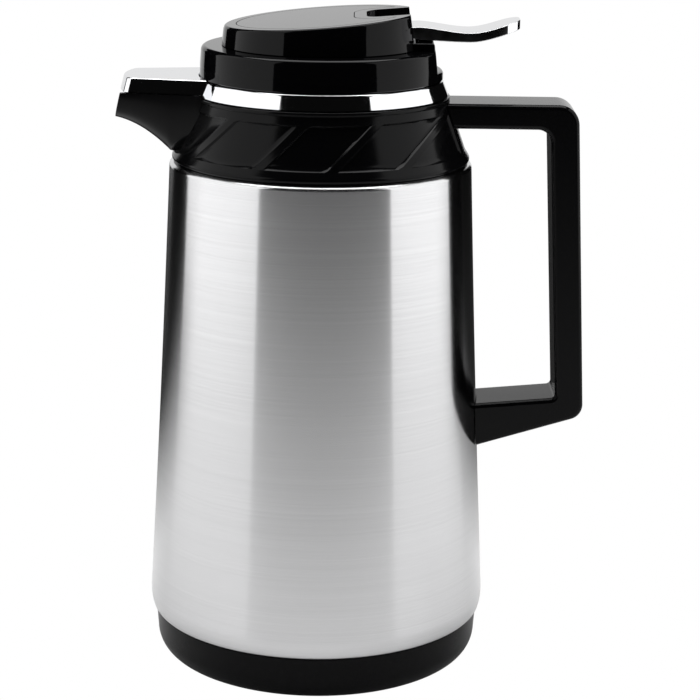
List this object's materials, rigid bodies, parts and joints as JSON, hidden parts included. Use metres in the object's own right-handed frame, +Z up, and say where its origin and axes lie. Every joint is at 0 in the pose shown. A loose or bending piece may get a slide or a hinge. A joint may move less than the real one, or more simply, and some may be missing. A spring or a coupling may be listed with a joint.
{
  "type": "vacuum jug",
  "caption": "Glass-lined vacuum jug with a waisted steel body, covered spout, square C handle and a twist-in lid whose thumb lever lifts the pouring valve.",
  "frame": {"origin": "the body axis at the level of the surface the jug stands on, which is the flat face of the base plug", "axes": "+Z up the body axis, +X towards the handle, -X towards the spout, Y across"},
  "size_m": [0.1967, 0.144, 0.2757],
  "materials": {
    "shell_steel": "stainless steel brushed round the body",
    "chrome_plate": "bright chrome plate",
    "gloss_black": "polished black moulding",
    "dull_black": "plain black moulding",
    "silicone": "soft black silicone",
    "flask_glass": "glass silvered on the vacuum side",
    "screw_steel": "zinc-plated or stainless small parts"
  },
  "bodies": {
    "jug": {"steel_shell": "shell_steel", "base_cap": "gloss_black", "base_plug": "dull_black", "flask_cushion": "silicone", "glass_outer": "flask_glass", "glass_inner": "flask_glass", "neck_gasket": "silicone", "neck_insert": "dull_black", "shoulder": "gloss_black", "chrome_trim": "chrome_plate", "handle": "gloss_black", "handle_bracket": "screw_steel", "handle_screw_upper": "screw_steel", "handle_screw_lower": "screw_steel"},
    "stopper_ring": {"stopper_gasket": "silicone"},
    "lid": {"lid_collar": "gloss_black", "lid_cap": "gloss_black", "lid_inlay": "gloss_black", "lever_pin": "screw_steel", "stopper_body": "dull_black", "return_spring": "screw_steel", "lid_screw_1": "screw_steel", "lid_screw_2": "screw_steel", "lid_screw_3": "screw_steel", "lid_screw_4": "screw_steel"},
    "thumb_lever": {"lever": "chrome_plate"},
    "valve": {"valve_seal": "silicone", "valve_disc": "dull_black", "valve_stem": "screw_steel", "stem_pin": "screw_steel"}
  },
  "joints": [
    {"name": "lid_lift", "type": "slide", "parent": "jug", "child": "stopper_ring", "axis": [0, 0, 1], "range_m": [0, 0.08]},
    {"name": "lid_twist", "type": "hinge", "parent": "stopper_ring", "child": "lid", "pos_m": [0, 0, 0.25], "axis": [0, 0, 1], "range_deg": [0, 90]},
    {"name": "lever_press", "type": "hinge", "parent": "lid", "child": "thumb_lever", "pos_m": [0.043, 0, 0.2673], "axis": [0, 1, 0], "range_deg": [0, 6], "stiffness_Nm_per_rad": 1.1, "springref_deg": -8.02},
    {"name": "valve_lift", "type": "slide", "parent": "lid", "child": "valve", "axis": [0, 0, 1], "range_m": [0, 0.0045], "deforming": ["return_spring"]}
  ],
  "couplings": [
    {"joint": "valve_lift", "follows": "lever_press", "m_per_rad": 0.043}
  ]
}
